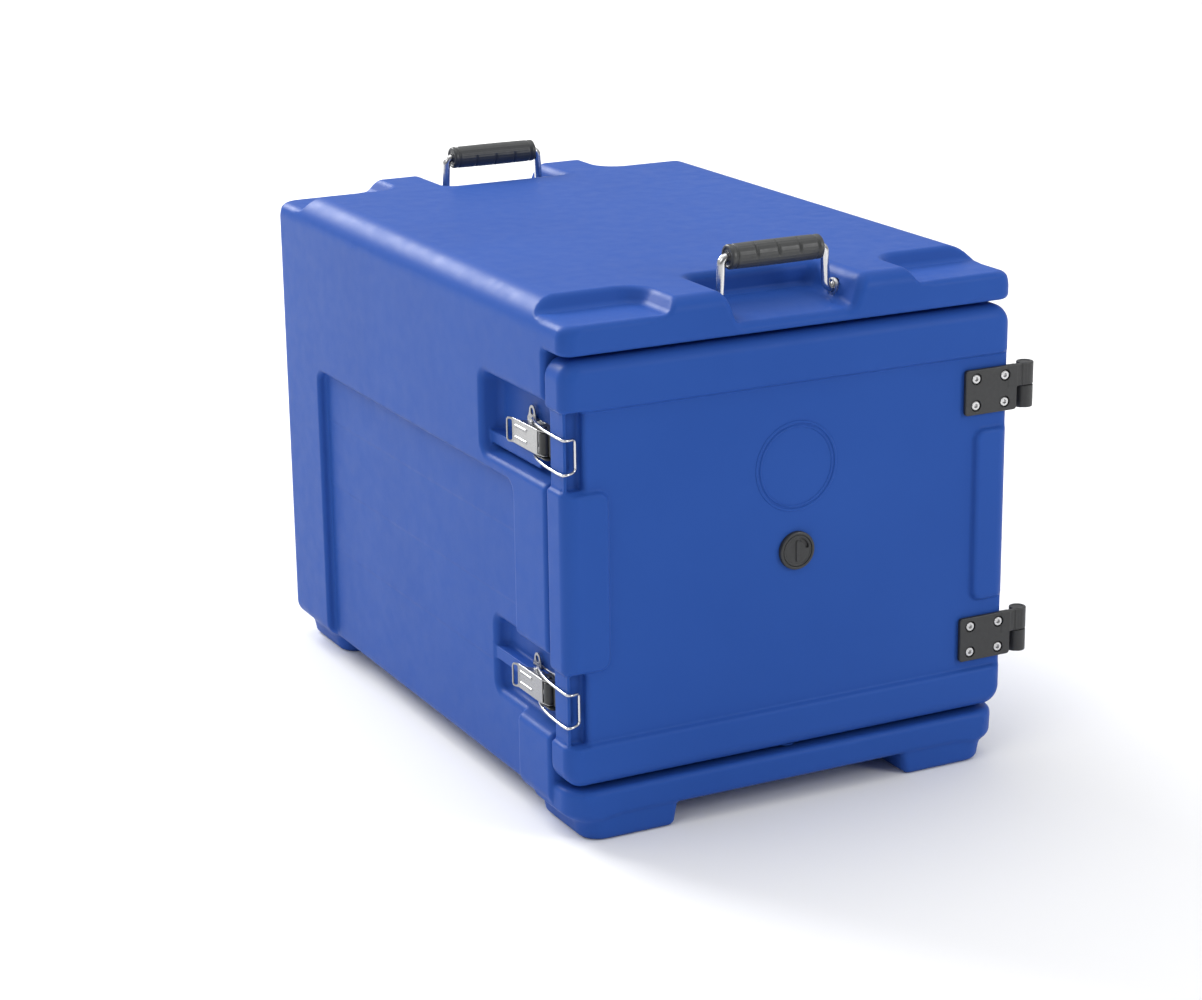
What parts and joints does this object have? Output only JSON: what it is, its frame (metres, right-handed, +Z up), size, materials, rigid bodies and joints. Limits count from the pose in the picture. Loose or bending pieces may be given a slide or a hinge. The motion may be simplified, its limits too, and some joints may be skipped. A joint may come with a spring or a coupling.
{
  "type": "insulated food carrier",
  "caption": "Front-loading insulated food carrier: a blue moulded box with a side-hinged door, two wire latches, a door vent and a folding handle at each end.",
  "frame": {"origin": "on the floor under the middle of the object's bounding box, with all four feet at z = 0", "axes": "+X to the right as seen from the front, towards the door's hinges; +Y from the door to the back; +Z up"},
  "size_m": [0.4662, 0.643, 0.496],
  "materials": {
    "moulded_polyethylene_blue": "rotationally moulded polyethylene, satin with a fine orange-peel texture",
    "insulating_foam": "rigid closed-cell polyurethane foam, buff",
    "black_nylon": "moulded glass-filled nylon, satin black",
    "black_grip": "moulded grip, black, satin",
    "seal_rubber": "food-grade silicone rubber, matt",
    "bright_steel": "bright zinc-plated or stainless steel",
    "stainless_sheet": "pressed stainless sheet, lightly brushed",
    "spring_wire": "bright drawn stainless wire"
  },
  "bodies": {
    "body": {"body_shell": "moulded_polyethylene_blue", "body_fill_plug": "moulded_polyethylene_blue", "body_foam_core": "insulating_foam", "hinge_body_leaf_upper": "black_nylon", "hinge_pin_upper": "bright_steel", "hinge_body_screw_upper_1": "bright_steel", "hinge_body_screw_upper_2": "bright_steel", "hinge_body_screw_upper_3": "bright_steel", "hinge_body_screw_upper_4": "bright_steel", "hinge_body_leaf_lower": "black_nylon", "hinge_pin_lower": "bright_steel", "hinge_body_screw_lower_1": "bright_steel", "hinge_body_screw_lower_2": "bright_steel", "hinge_body_screw_lower_3": "bright_steel", "hinge_body_screw_lower_4": "bright_steel", "latch_plate_upper": "stainless_sheet", "latch_block_upper": "black_nylon", "latch_pin_upper": "bright_steel", "latch_rivet_upper_1": "bright_steel", "latch_rivet_upper_2": "bright_steel", "latch_plate_lower": "stainless_sheet", "latch_block_lower": "black_nylon", "latch_pin_lower": "bright_steel", "latch_rivet_lower_1": "bright_steel", "latch_rivet_lower_2": "bright_steel", "handle_bush_front_left": "bright_steel", "handle_bush_front_right": "bright_steel", "handle_bush_rear_left": "bright_steel", "handle_bush_rear_right": "bright_steel"},
    "door": {"door_shell": "moulded_polyethylene_blue", "door_fill_plug": "moulded_polyethylene_blue", "door_foam_core": "insulating_foam", "door_gasket": "seal_rubber", "vent_seal": "seal_rubber", "hinge_door_leaf_upper": "black_nylon", "hinge_door_screw_upper_1": "bright_steel", "hinge_door_screw_upper_2": "bright_steel", "hinge_door_screw_upper_3": "bright_steel", "hinge_door_screw_upper_4": "bright_steel", "hinge_door_leaf_lower": "black_nylon", "hinge_door_screw_lower_1": "bright_steel", "hinge_door_screw_lower_2": "bright_steel", "hinge_door_screw_lower_3": "bright_steel", "hinge_door_screw_lower_4": "bright_steel", "vent_housing": "black_nylon", "vent_nut": "black_nylon"},
    "vent_dial": {"vent_dial": "black_nylon"},
    "lever_upper": {"latch_lever_upper": "stainless_sheet"},
    "bail_upper": {"latch_bail_upper": "spring_wire"},
    "lever_lower": {"latch_lever_lower": "stainless_sheet"},
    "bail_lower": {"latch_bail_lower": "spring_wire"},
    "handle_front": {"handle_wire_front": "spring_wire", "handle_grip_front": "black_grip"},
    "handle_rear": {"handle_wire_rear": "spring_wire", "handle_grip_rear": "black_grip"}
  },
  "joints": [
    {"name": "door_hinge", "type": "hinge", "parent": "body", "child": "door", "pos_m": [0.22537, -0.3135, 0.23275], "axis": [0, 0, 1], "range_deg": [0, 270]},
    {"name": "lever_upper_pivot", "type": "hinge", "parent": "body", "child": "lever_upper", "pos_m": [-0.22262, -0.2655, 0.3425], "axis": [0, 0, 1], "range_deg": [0, 120]},
    {"name": "bail_upper_pivot", "type": "hinge", "parent": "lever_upper", "child": "bail_upper", "pos_m": [-0.22012, -0.2375, 0.3425], "axis": [0, 0, 1], "range_deg": [-84, 0]},
    {"name": "lever_lower_pivot", "type": "hinge", "parent": "body", "child": "lever_lower", "pos_m": [-0.22262, -0.2655, 0.1215], "axis": [0, 0, 1], "range_deg": [0, 120]},
    {"name": "bail_lower_pivot", "type": "hinge", "parent": "lever_lower", "child": "bail_lower", "pos_m": [-0.22012, -0.2375, 0.1215], "axis": [0, 0, 1], "range_deg": [-84, 0]},
    {"name": "handle_front_pivot", "type": "hinge", "parent": "body", "child": "handle_front", "pos_m": [-0.01312, -0.2815, 0.448], "axis": [1, 0, 0], "range_deg": [-45, 80]},
    {"name": "handle_rear_pivot", "type": "hinge", "parent": "body", "child": "handle_rear", "pos_m": [-0.01312, 0.2815, 0.448], "axis": [1, 0, 0], "range_deg": [-80, 45]},
    {"name": "vent_dial_turn", "type": "hinge", "parent": "door", "child": "vent_dial", "pos_m": [-0.01013, -0.3191, 0.23], "axis": [0, 1, 0], "range_deg": [0, 90]}
  ],
  "couplings": [
    {"joint": "bail_upper_pivot", "follows": "lever_upper_pivot", "ratio": -0.7},
    {"joint": "bail_lower_pivot", "follows": "lever_lower_pivot", "ratio": -0.7}
  ]
}
